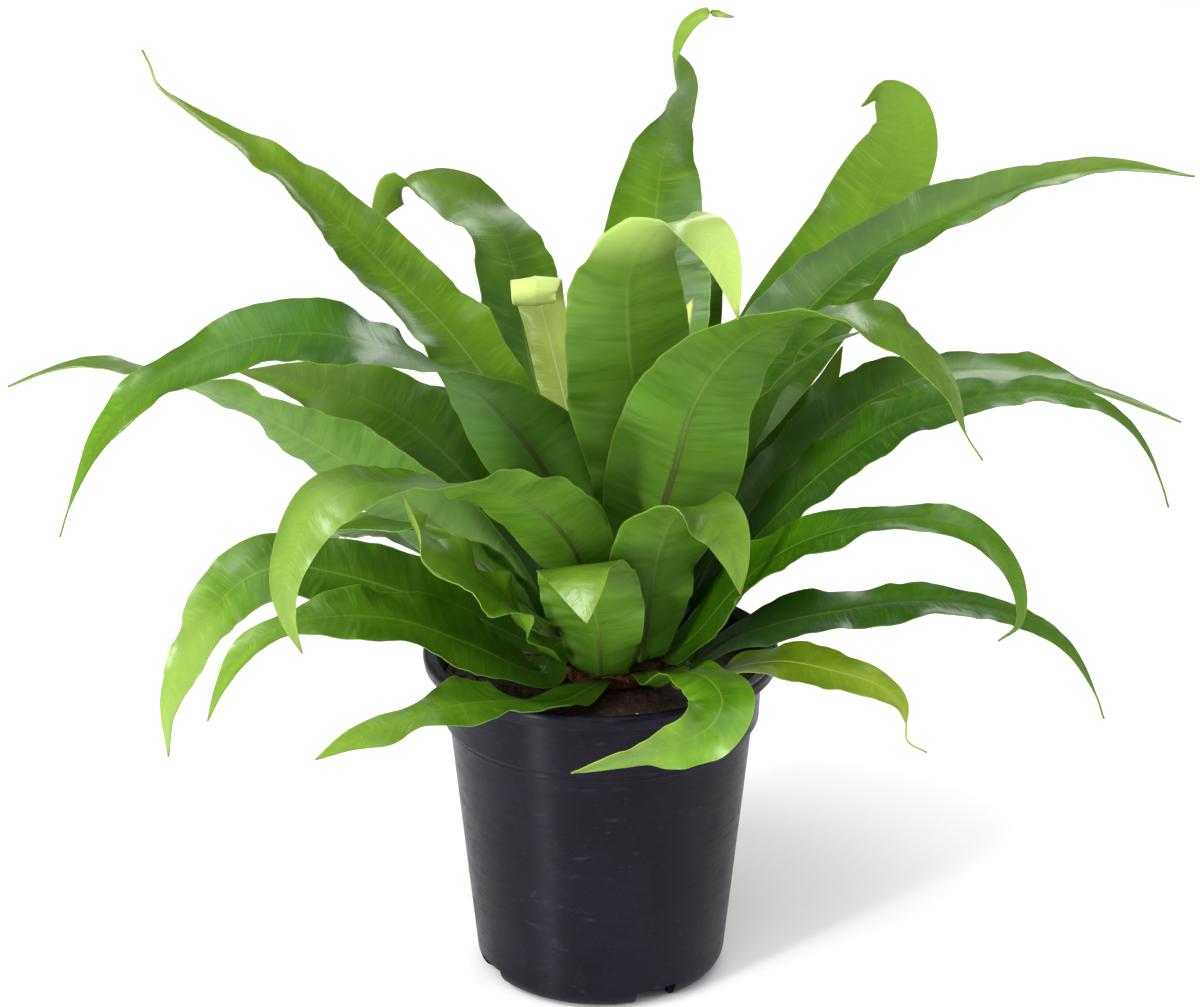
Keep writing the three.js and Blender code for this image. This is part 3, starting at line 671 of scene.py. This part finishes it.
def leaf_material(name, dark, mid, light, rib, under, roughness, rib_shows, seed):
    """Leaf skin: slanting cross veins, thin midrib, a pale margin that is partly a painted highlight, brown
    midrib below, painted shade towards the crown and in patches below, soft light through it.
    """
    n = Nodes(name)
    across = n.attribute("across")
    along = n.attribute("along")
    reach = n.attribute("reach")
    side = n.attribute("upper_side")
    edge = n.math("ABSOLUTE", across)
    place = n.point(across, n.math("MULTIPLY", along, 5.0), seed)
    mottle = n.noise(place, 0.8, 3.0)
    slanted = n.math("SUBTRACT", n.math("MULTIPLY", along, 210.0), n.math("MULTIPLY", edge, 3.2))
    veins = n.noise(n.point(slanted, n.math("MULTIPLY", across, 1.1), seed), 1.0, 2.0)
    slow = n.math("SUBTRACT", n.math("MULTIPLY", along, 62.0), n.math("MULTIPLY", edge, 1.6))
    broad = n.noise(n.point(slow, n.math("MULTIPLY", across, 0.9), seed + 3), 1.0, 2.0)
    base = n.mix(n.ramp(mottle, 0.3, 0.7), dark, mid)
    patchy = n.noise(n.point(across, n.math("MULTIPLY", along, 3.5), seed + 11), 1.1, 2.0)
    streak_strength = n.math("ADD", n.math("MULTIPLY", n.ramp(patchy, 0.42, 0.62), 0.25), 0.05)
    base = n.mix(n.math("MULTIPLY", n.ramp(broad, 0.48, 0.8), 0.20), base, light)
    streaks = n.math("MULTIPLY", n.ramp(veins, 0.5, 0.78), streak_strength)
    base = n.mix(streaks, base, light)
    base = n.mix(n.math("MULTIPLY", n.ramp(veins, 0.46, 0.28), 0.16), base, dark)
    lower = n.mix(n.ramp(mottle, 0.3, 0.7), mid, under)
    # Patches of the underside darken: partly its own duller tone, partly painted shade on the side that
    # faces away from the light
    lower = n.mix(n.math("MULTIPLY", n.ramp(broad, 0.4, 0.75), 0.5), lower, dark)
    lower = n.mix(n.math("MULTIPLY", n.ramp(veins, 0.5, 0.8), 0.3), lower, dark)
    base = n.mix(side, lower, base)
    tip_pale = n.math("MULTIPLY", n.ramp(reach, 0.5, 1.0), 0.4)
    base = n.mix(tip_pale, base, light)
    flap = n.math("MULTIPLY", n.ramp(reach, 0.66, 0.76), n.attribute("pale"))
    base = n.mix(flap, base, colour(166, 190, 98))
    # Painted shade: the inner half of each blade darkens towards the crown, where the fronds crowd and shade
    # one another
    crown_shade = n.math("MULTIPLY", n.ramp(reach, 0.5, 0.0), 0.6)
    base = n.mix(crown_shade, base, dark)
    # A pale line along the margin: partly the blade's own pale edge, partly a painted highlight where light
    # catches the edge
    margin = n.ramp(edge, 0.965, 0.995)
    base = n.mix(n.math("MULTIPLY", margin, 0.3), base, light)
    rib_line = n.math("MULTIPLY", n.ramp(edge, 0.045, 0.01), n.ramp(reach, 0.95, 0.2))
    base = n.mix(n.math("MULTIPLY", rib_line, rib_shows), base, rib)
    rib_under = n.math("MULTIPLY", n.math("SUBTRACT", 1.0, side), n.ramp(edge, 0.075, 0.03))
    rib_brown = n.math("MULTIPLY", rib_under, n.ramp(reach, 0.6, 0.2))
    base = n.mix(n.math("MULTIPLY", rib_brown, 0.85), base, colour(52, 34, 16))
    foot = n.math("MULTIPLY", n.ramp(reach, 0.10, 0.0), 0.75)
    base = n.mix(foot, base, colour(58, 44, 18))
    browned = n.math("MULTIPLY", n.ramp(reach, 0.975, 1.0), 0.7)
    base = n.mix(browned, base, colour(120, 96, 45))
    fine = n.point(n.math("MULTIPLY", along, 75.0), n.math("MULTIPLY", across, 9.0), seed + 7)
    fleck = n.noise(fine, 1.0, 1.0)
    base = n.mix(n.math("MULTIPLY", n.ramp(fleck, 0.74, 0.8), 0.35), base, dark)
    matte = n.math("MULTIPLY", n.math("SUBTRACT", 1.0, side), 0.22)
    rough = n.math("ADD", n.math("MULTIPLY", broad, 0.16), n.math("ADD", matte, roughness - 0.06))
    height = n.math("ADD", n.math("MULTIPLY", veins, 0.5), n.math("MULTIPLY", broad, 1.2))
    normal = n.bump(height, 0.3, 0.0009)
    n.set(Base_Color=base, Roughness=rough, IOR=1.45)
    n.shader.inputs["Specular IOR Level"].default_value = 0.38
    n.shader.inputs["Coat Weight"].default_value = 0.08
    n.shader.inputs["Coat Roughness"].default_value = 0.25
    through = n.add("ShaderNodeBsdfTranslucent")
    glow_colour = n.mix(0.5, base, light)
    n.link(glow_colour, through.inputs["Color"])
    n.link(normal, through.inputs["Normal"])
    blend = n.add("ShaderNodeMixShader")
    blend.inputs[0].default_value = LEAF_GLOW
    n.link(n.shader.outputs[0], blend.inputs[1])
    n.link(through.outputs[0], blend.inputs[2])
    n.link(blend.outputs[0], n.output.inputs[0])
    return n.material


def pot_material():
    """Black injection-moulded plastic: satin, faint horizontal draw marks, dust specks and scuffs."""
    n = Nodes("pot_black_plastic")
    where = n.add("ShaderNodeTexCoord").outputs["Object"]
    parts = n.add("ShaderNodeSeparateXYZ")
    n.link(where, parts.inputs[0])
    turn = n.math("ARCTAN2", parts.outputs[1], parts.outputs[0])
    up = parts.outputs[2]
    lines = n.noise(n.point(n.math("MULTIPLY", turn, 1.2), 0.0, n.math("MULTIPLY", up, 420.0)), 1.0, 3.0)
    smears = n.point(n.math("MULTIPLY", turn, 5.0), 0.0, n.math("MULTIPLY", up, 150.0))
    scuffs = n.noise(smears, 1.0, 5.0, 0.7)
    dust = n.noise(where, 700.0, 2.0, 0.6)
    cloud = n.noise(where, 22.0, 4.0, 0.6)
    base = n.mix(n.ramp(cloud, 0.35, 0.7), colour(9, 7, 14), colour(18, 15, 26))
    base = n.mix(n.math("MULTIPLY", n.ramp(scuffs, 0.56, 0.74), 0.5), base, colour(48, 45, 60))
    base = n.mix(n.math("MULTIPLY", n.ramp(dust, 0.67, 0.76), 0.22), base, colour(84, 80, 92))
    worn = n.math("MULTIPLY", n.ramp(scuffs, 0.45, 0.8), 0.24)
    rough = n.math("ADD", n.math("ADD", n.math("MULTIPLY", lines, 0.12), worn), 0.28)
    height = n.math("ADD", n.math("MULTIPLY", lines, 0.35), n.math("MULTIPLY", scuffs, 0.25))
    n.bump(height, 0.5, 0.0006)
    n.set(Base_Color=base, Roughness=rough, IOR=1.5)
    around = n.add("ShaderNodeTangent", direction_type="RADIAL", axis="Z")
    n.link(around.outputs[0], n.shader.inputs["Tangent"])
    n.shader.inputs["Anisotropic"].default_value = 0.85
    n.shader.inputs["Anisotropic Rotation"].default_value = 0.25
    n.shader.inputs["Specular IOR Level"].default_value = 0.14
    n.shader.inputs["Specular Tint"].default_value = (0.88, 0.82, 1.0, 1.0)
    return n.material


def mix_material():
    """Damp peat: dark red-brown crumbs with paler fibres."""
    n = Nodes("potting_mix_peat")
    where = n.add("ShaderNodeTexCoord").outputs["Object"]
    crumbs = n.noise(where, 240.0, 5.0, 0.65)
    patches = n.noise(where, 45.0, 3.0)
    base = n.mix(n.ramp(crumbs, 0.3, 0.7), colour(26, 16, 12), colour(72, 44, 32))
    base = n.mix(n.math("MULTIPLY", n.ramp(patches, 0.5, 0.8), 0.5), base, colour(96, 58, 40))
    n.bump(crumbs, 0.9, 0.002)
    n.set(Base_Color=base, Roughness=n.math("ADD", n.math("MULTIPLY", crumbs, 0.3), 0.65))
    return n.material


def fibre_material(name, dark, light):
    n = Nodes(name)
    where = n.add("ShaderNodeTexCoord").outputs["Object"]
    tone = n.noise(where, 180.0, 3.0)
    grain = n.noise(where, 900.0, 2.0)
    base = n.mix(n.ramp(tone, 0.3, 0.7), dark, light)
    n.bump(grain, 0.5, 0.0004)
    n.set(Base_Color=base, Roughness=n.math("ADD", n.math("MULTIPLY", grain, 0.3), 0.55))
    return n.material


# ---- Pieces ----
def add_piece(name, mesh, material, slot, *nodes):
    piece = bpy.data.objects.new(name, mesh)
    bpy.context.scene.collection.objects.link(piece)
    mesh.materials.clear()
    mesh.materials.append(material)
    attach(piece, "root")
    if nodes:
        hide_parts(*nodes)
    return piece


def lathe(name, profile, segments=160):
    """A closed mesh from [radius, height] pairs that run from the axis to the axis."""
    points, faces, rings = [], [], []
    for radius, z in profile:
        if radius < 1e-7:
            rings.append([len(points)] * segments)
            points.append((0, 0, z))
        else:
            rings.append(list(range(len(points), len(points) + segments)))
            for k in range(segments):
                a = 2 * math.pi * k / segments
                points.append((radius * math.cos(a), radius * math.sin(a), z))
    for low, high in zip(rings, rings[1:]):
        for k in range(segments):
            m = (k + 1) % segments
            corners = [low[k], low[m], high[m], high[k]]
            faces.append([c for i, c in enumerate(corners) if c not in corners[:i]])
    mesh = bpy.data.meshes.new(name)
    mesh.from_pydata(points, [], faces)
    mesh.validate()
    return mesh


def rounded(profile, radius):
    """Rounds the corners of a profile of [radius, height] pairs."""
    steps = 5
    out = [profile[0]]
    for before, corner, after in zip(profile, profile[1:], profile[2:]):
        b, c, a = (Vector(p) for p in (before, corner, after))
        reach = min(radius, (b - c).length * 0.45, (a - c).length * 0.45)
        start, end = c + (b - c).normalized() * reach, c + (a - c).normalized() * reach
        for i in range(steps + 1):
            s = i / steps
            p = start * (1 - s)**2 + c * 2 * s * (1 - s) + end * s**2
            out.append((p.x, p.y))
    out.append(profile[-1])
    return out


# ---- Pot and potting mix ----
POT_HEIGHT = pot_high.z
RIM_RADIUS = (pot_high.x - pot_low.x) / 2
LIP_DROP = 9 * MM
COLLAR_RADIUS = 86 * MM
COLLAR_HEIGHT = 39 * MM
BODY_TOP_RADIUS = 81 * MM
FOOT_RADIUS = 67.5 * MM
FOOT_ROUND = 11 * MM
WALL = 1.6 * MM
FLOOR_LIFT = 11 * MM
FLOOR_PAD_RADIUS = 38 * MM
NOTCH_WIDTH = 23 * MM
NOTCH_HEIGHT = 10 * MM
NOTCH_TURN = -63.5 * DEG
NOTCH_COUNT = 4
NOTCH_SETBACK = 6 * MM
MIX_EDGE = POT_HEIGHT - 16 * MM


def pot_profile():
    step = POT_HEIGHT - COLLAR_HEIGHT
    flat = FOOT_RADIUS - FOOT_ROUND
    outside = [(0, 0), (FLOOR_PAD_RADIUS, 0), (FLOOR_PAD_RADIUS + MM, FLOOR_LIFT),
               (flat - 2 * MM, FLOOR_LIFT), (flat - MM, 0)]
    for i in range(9):
        a = i / 8 * math.pi / 2
        outside.append((flat + FOOT_ROUND * math.sin(a), FOOT_ROUND * (1 - math.cos(a))))
    outside += [
        (BODY_TOP_RADIUS - 0.1 * MM, step - 4 * MM),
        (BODY_TOP_RADIUS + 0.5 * MM, step - 3.4 * MM),
        (BODY_TOP_RADIUS + 0.5 * MM, step),
        (COLLAR_RADIUS - 1.5 * MM, step + MM),
        (COLLAR_RADIUS, POT_HEIGHT - LIP_DROP),
        (RIM_RADIUS - MM, POT_HEIGHT - LIP_DROP + MM),
        (RIM_RADIUS, POT_HEIGHT - 2 * MM),
        (RIM_RADIUS - 1.5 * MM, POT_HEIGHT),
        (COLLAR_RADIUS + MM, POT_HEIGHT - 2 * MM),
        (COLLAR_RADIUS - WALL, POT_HEIGHT - LIP_DROP),
        (COLLAR_RADIUS - 1.5 * MM - WALL, step + MM + WALL),
        (BODY_TOP_RADIUS - WALL, step - WALL),
        (FOOT_RADIUS - WALL, FLOOR_LIFT + WALL),
        (FLOOR_PAD_RADIUS - WALL, FLOOR_LIFT + WALL),
        (FLOOR_PAD_RADIUS - MM - WALL, WALL),
        (0, WALL),
    ]
    return rounded(outside, 1.2 * MM)


def add_pot():
    mesh = lathe("nursery_pot", pot_profile())
    pot = add_piece("nursery_pot", mesh, pot_material(), "pot_plastic", "pot")
    for i in range(NOTCH_COUNT):
        a = NOTCH_TURN + i * 2 * math.pi / NOTCH_COUNT
        bpy.ops.mesh.primitive_cube_add(size=1)
        cutter = bpy.context.object
        cutter.scale = (FOOT_RADIUS, NOTCH_WIDTH, NOTCH_HEIGHT + MM)
        reach = FLOOR_PAD_RADIUS + NOTCH_SETBACK + FOOT_RADIUS / 2
        cutter.location = (reach * math.cos(a), reach * math.sin(a), NOTCH_HEIGHT / 2 - 0.5 * MM)
        cutter.rotation_euler = (0, 0, a)
        cut = pot.modifiers.new("notch", "BOOLEAN")
        cut.operation = "DIFFERENCE"
        cut.solver = "EXACT"
        cut.object = cutter
        bpy.context.view_layer.objects.active = pot
        bpy.ops.object.modifier_apply(modifier=cut.name)
        bpy.data.objects.remove(cutter)
    pot.data.shade_smooth()
    pot.data.set_sharp_from_angle(angle=35 * DEG)


def add_mix():
    """Crumbly top of the potting mix over a plain plug that fills the pot."""
    inset = WALL + FIT_GAP
    rings = 60
    profile = [(0, inset), (FLOOR_PAD_RADIUS - MM - inset, inset),
               (FLOOR_PAD_RADIUS - inset, FLOOR_LIFT + inset), (FOOT_RADIUS - inset, FLOOR_LIFT + inset),
               (BODY_TOP_RADIUS - inset, POT_HEIGHT - COLLAR_HEIGHT - inset)]
    outer = COLLAR_RADIUS - inset - MM
    for i in range(rings):
        s = i / (rings - 1)
        profile.append((outer * (1 - s), MIX_EDGE + (MIX_TOP - MIX_EDGE) * min(1, s * 1.5)))
    mesh = lathe("potting_mix_top", profile, 200)
    for v in mesh.vertices:
        if v.co.z > MIX_EDGE - MM:
            p = v.co
            inside = max(0.0, min(1.0, (outer - math.hypot(p.x, p.y)) / (4 * MM)))
            lumps = noise.fractal(p * 90, 0.9, 2.1, 4) * 1.5 + noise.cell(p * 330) * 0.8
            v.co.z += (lumps - 0.8) * MM * inside
    mesh.shade_smooth()
    add_piece("potting_mix_top", mesh, mix_material(), "potting_mix", "potting_mix")


def strand(points, radius, sides=5):
    """A thin closed tube through a few points."""
    centre, along, _ = evenly(catmull_rom(points, 8), max(5, 3 * len(points)))
    verts, faces = [], []
    count = len(centre)
    for i in range(count):
        side = np.cross(along[i], (0.13, 0.31, 0.94))
        side /= np.linalg.norm(side)
        up = np.cross(along[i], side)
        r = radius * (0.35 + 0.65 * math.sin(math.pi * (i + 0.5) / count))
        for k in range(sides):
            a = 2 * math.pi * k / sides
            verts.append(centre[i] + (side * math.cos(a) + up * math.sin(a)) * r)
    for i in range(count - 1):
        for k in range(sides):
            m = (k + 1) % sides
            faces.append((i * sides + k, i * sides + m, (i + 1) * sides + m, (i + 1) * sides + k))
    faces.append(tuple(range(sides))[::-1])
    faces.append(tuple((count - 1) * sides + k for k in range(sides)))
    return verts, faces


def joined(name, parts):
    """One mesh from a list of (points, faces)."""
    verts, faces = [], []
    for part_verts, part_faces in parts:
        start = len(verts)
        verts += [tuple(p) for p in part_verts]
        faces += [tuple(start + k for k in f) for f in part_faces]
    mesh = bpy.data.meshes.new(name)
    mesh.from_pydata(verts, [], faces)
    mesh.validate()
    mesh.shade_smooth()
    return mesh


def mix_height(radius):
    """Height of the mix's sloping top at a distance from the pot's axis."""
    return MIX_TOP - (MIX_TOP - MIX_EDGE) * radius / COLLAR_RADIUS


def add_coir():
    """Coir strands lying on the mix."""
    rng = random.Random(11)
    strands = []
    for _ in range(170):
        r = rng.uniform(CROWN_RADIUS, COLLAR_RADIUS - 10 * MM)
        a = rng.uniform(0, 2 * math.pi)
        start = np.array((r * math.cos(a), r * math.sin(a), mix_height(r) - 1.6 * MM))
        turn = rng.uniform(0, math.pi)
        length = rng.uniform(4, 15) * MM
        step = np.array((math.cos(turn), math.sin(turn), 0)) * length / 3
        points = []
        for i in range(4):
            stray = np.array([rng.uniform(-1, 1) * 1.2 * MM for _ in range(3)])
            points.append(start + step * i + stray)
        points = [p for p in points if math.hypot(p[0], p[1]) < COLLAR_RADIUS - 5 * MM]
        if len(points) > 2:
            strands.append(strand(points, rng.uniform(0.18, 0.4) * MM))
    add_piece("coir_strands", joined("coir_strands", strands),
              fibre_material("coir", colour(84, 50, 30), colour(160, 108, 66)), "potting_mix")


def add_crumbs():
    """Bark crumbs and pale specks lying on the mix."""
    for name, count, low, high, dark, light, seed in (
        ("bark_crumbs", 260, 0.7, 2.4, colour(34, 20, 14), colour(92, 56, 38), 5),
        ("pale_specks", 70, 0.35, 0.9, colour(170, 158, 120), colour(226, 220, 196), 6),
    ):
        rng = random.Random(seed)
        crumbs = []
        for _ in range(count):
            r = math.sqrt(rng.uniform(0.1, 1)) * (COLLAR_RADIUS - 7 * MM)
            a = rng.uniform(0, 2 * math.pi)
            z = mix_height(r) - 0.8 * MM
            size = rng.uniform(low, high) * MM
            centre = np.array((r * math.cos(a), r * math.sin(a), z))
            corners = [np.array(c, float) for c in
                       ((1, 0, 0), (0, 1, 0), (-1, 0, 0), (0, -1, 0), (0, 0, 1), (0, 0, -1))]
            stretch = np.array([rng.uniform(0.6, 1.5), rng.uniform(0.6, 1.5), rng.uniform(0.4, 0.9)])
            verts = [centre + c * stretch * size * rng.uniform(0.75, 1.2) for c in corners]
            faces = [(0, 1, 4), (1, 2, 4), (2, 3, 4), (3, 0, 4), (1, 0, 5), (2, 1, 5), (3, 2, 5), (0, 3, 5)]
            crumbs.append((verts, faces))
        mesh = joined(name, crumbs)
        mesh.shade_flat()
        add_piece(name, mesh, fibre_material(name, dark, light), "potting_mix")


def add_crown():
    """The rounded crown under its coat of narrow papery scales."""
    rng = random.Random(21)
    radius = CROWN_RADIUS * 0.97
    profile = [(0, 0)]
    for i in range(24):
        a = i / 24 * math.pi / 2
        profile.append((radius * math.cos(a), radius * math.sin(a)))
    profile.append((0, radius))
    mesh = lathe("crown_body", profile, 72)
    mesh.transform(Matrix.Translation(CROWN_CENTRE))
    mesh.shade_smooth()
    material = fibre_material("crown_scales", colour(40, 24, 14), colour(112, 70, 40))
    add_piece("crown_body", mesh, material, "crown_scales", "crown")
    scales = []
    for _ in range(620):
        up = math.asin(rng.uniform(0.02, 0.98))
        around = rng.uniform(0, 2 * math.pi)
        out = Vector((math.cos(up) * math.cos(around), math.cos(up) * math.sin(around), math.sin(up)))
        start = CROWN_CENTRE + out * CROWN_RADIUS * 0.95
        rise = Vector((0, 0, 1)) - out * out.z
        lean = (rise.normalized() if rise.length > 0.05 else Vector((1, 0, 0))) * rng.uniform(0.3, 1.0)
        lean += Vector([rng.uniform(-0.4, 0.4) for _ in range(3)])
        length = rng.uniform(4, 9) * MM
        middle = start + (out * 0.7 + lean * 0.3) * length * 0.5
        points = [start, middle, start + (out * 0.6 + lean * 0.7) * length]
        scales.append(strand([np.array(p) for p in points], rng.uniform(0.25, 0.6) * MM, 4))
    add_piece("crown_scale_coat", joined("crown_scale_coat", scales),
              fibre_material("scale_coat", colour(62, 36, 20), colour(150, 96, 54)), "crown_scales")


# ---- Leaves: each skin's colours, from 0 to 255 ----
# Besides the fronds' own tones, the skins carry painted light and shade: the lush and olive skins are
# lighter copies for lit fronds, the deep skin a darker copy for fronds in shadow
LEAF_SKINS = {
    "green": {
        "dark": (48, 88, 4), "mid": (78, 122, 12), "light": (138, 166, 56),
        "rib": (150, 176, 78), "under": (92, 128, 36),
    },
    "lush_and_lit": {
        "dark": (58, 102, 6), "mid": (92, 138, 18), "light": (154, 182, 66),
        "rib": (166, 188, 92), "under": (108, 144, 44),
    },
    "deep_and_shaded": {
        "dark": (36, 76, 0), "mid": (60, 106, 4), "light": (112, 148, 32),
        "rib": (132, 162, 66), "under": (76, 112, 28),
    },
    "olive_and_lit": {
        "dark": (62, 98, 2), "mid": (94, 134, 10), "light": (150, 178, 50),
        "rib": (160, 178, 84), "under": (104, 134, 44),
    },
    # The young skin is paler, its own colour brightened further as painted light against the shade of the
    # fronds around it; its near-white midrib is partly a painted gloss highlight
    "young": {
        "dark": (172, 198, 78), "mid": (202, 220, 112), "light": (228, 238, 158),
        "rib": (252, 254, 234), "under": (196, 218, 112),
    },
    "old": {
        "dark": (92, 128, 8), "mid": (126, 154, 20), "light": (178, 186, 62),
        "rib": (214, 206, 110), "under": (120, 140, 40),
    },
}
# The skin of each frond that doesn't take its slot's usual one: a lighter skin paints light on a lit frond,
# a darker one paints shade on a frond in shadow
TONES = {
    "frond_upper_left": "olive_and_lit", "frond_back_left_bent": "green", "frond_tall_centre": "green",
    "frond_tall_back": "lush_and_lit", "frond_right_hooked": "lush_and_lit", "frond_far_right_top": "green",
    "frond_centre_right_arch": "green", "frond_right_long": "green", "frond_right_hanging": "deep_and_shaded",
    "frond_right_mid_arch": "deep_and_shaded", "frond_right_low_arch": "deep_and_shaded", "frond_front_drooping": "lush_and_lit",
    "frond_front_folded": "green", "frond_front_tucked": "green", "frond_front_left_arch": "green",
    "frond_left_ruffled": "lush_and_lit", "frond_left_hanging": "green", "frond_left_low": "green",
    "frond_left_big_arch": "deep_and_shaded", "frond_far_left": "green", "frond_left_lit": "green",
}
SKIN_ROUGHNESS = {"young": 0.2}
USUAL_ROUGHNESS = 0.3
# How pale the outer third of a blade is, from 0 to 1
PALE_TIPS = {"frond_tall_centre": 1.0, "frond_left_hanging": 0.25, "frond_front_left_arch": 0.15}


def add_fronds():
    skins = {}
    for i, (name, tones) in enumerate(LEAF_SKINS.items()):
        colours = {part: colour(*tone) for part, tone in tones.items()}
        rib_shows = 1.0 if name in ("young", "old") else 0.4
        roughness = SKIN_ROUGHNESS.get(name, USUAL_ROUGHNESS)
        skins[name] = leaf_material("leaf_" + name, **colours, roughness=roughness,
                                    rib_shows=rib_shows, seed=i * 5.0)
    for i, frond in enumerate(FRONDS):
        slot = frond.get("skin", "frond_green")
        by_slot = {"frond_young": "young", "frond_old": "old", "frond_green": ("deep_and_shaded", "green")[i % 2]}
        tone = TONES.get(frond["name"], by_slot[slot])
        piece_name = frond["name"].replace("frond", "leaf", 1)
        mesh = frond_mesh(frond, 100 + i)
        mesh.name = piece_name
        add_piece(piece_name, mesh, skins[tone], slot, frond["name"])


def place_light(name, lamp, place):
    light = bpy.data.objects.new(name, lamp)
    light.location = place
    aim = Vector((0, 0, 0.25)) - Vector(place)
    light.rotation_euler = aim.to_track_quat("-Z", "Y").to_euler()
    bpy.context.scene.collection.objects.link(light)


def add_studio():
    n = Nodes("studio_floor")
    where = n.add("ShaderNodeTexCoord").outputs["Object"]
    tone = n.noise(where, 3.0, 2.0)
    n.set(Base_Color=n.mix(tone, colour(244, 244, 244), colour(250, 250, 250)), Roughness=0.9)
    mesh = bpy.data.meshes.new("floor")
    size = 12
    corners = [(-size, -size, 0), (size, -size, 0), (size, size, 0), (-size, size, 0)]
    mesh.from_pydata(corners, [], [(0, 1, 2, 3)])
    mesh.materials.append(n.material)
    floor = bpy.data.objects.new("floor", mesh)
    bpy.context.scene.collection.objects.link(floor)
    floor.location.z = -0.5 * MM
    world = bpy.data.worlds.new("studio")
    world.use_nodes = True
    world.node_tree.nodes["Background"].inputs[0].default_value = (0.97, 0.98, 1, 1)
    world.node_tree.nodes["Background"].inputs[1].default_value = 0.42
    bpy.context.scene.world = world
    sun = bpy.data.lights.new("sky_panel", "SUN")
    sun.energy = 2.25
    sun.angle = 70 * DEG
    place_light("sky_panel", sun, (-0.5, -0.7, 2.0))
    for name, place, wide, tall, power in (
        ("key", (-1.2, -1.0, 1.7), 0.6, 0.6, 14),
        ("strip_left", (-0.8, -0.9, 0.31), 0.12, 0.6, 15),
        ("strip_right", (1.5, -0.5, 0.8), 0.2, 1.2, 7),
        ("rim", (0.5, 1.6, 1.3), 1.4, 0.5, 14),
    ):
        lamp = bpy.data.lights.new(name, "AREA")
        lamp.shape = "RECTANGLE"
        lamp.size = wide
        lamp.size_y = tall
        lamp.energy = power
        place_light(name, lamp, place)
    settings = bpy.context.scene.view_settings
    settings.view_transform = "Standard"
    settings.look = "None"


add_pot()
add_mix()
add_coir()
add_crumbs()
add_crown()
add_fronds()
add_studio()
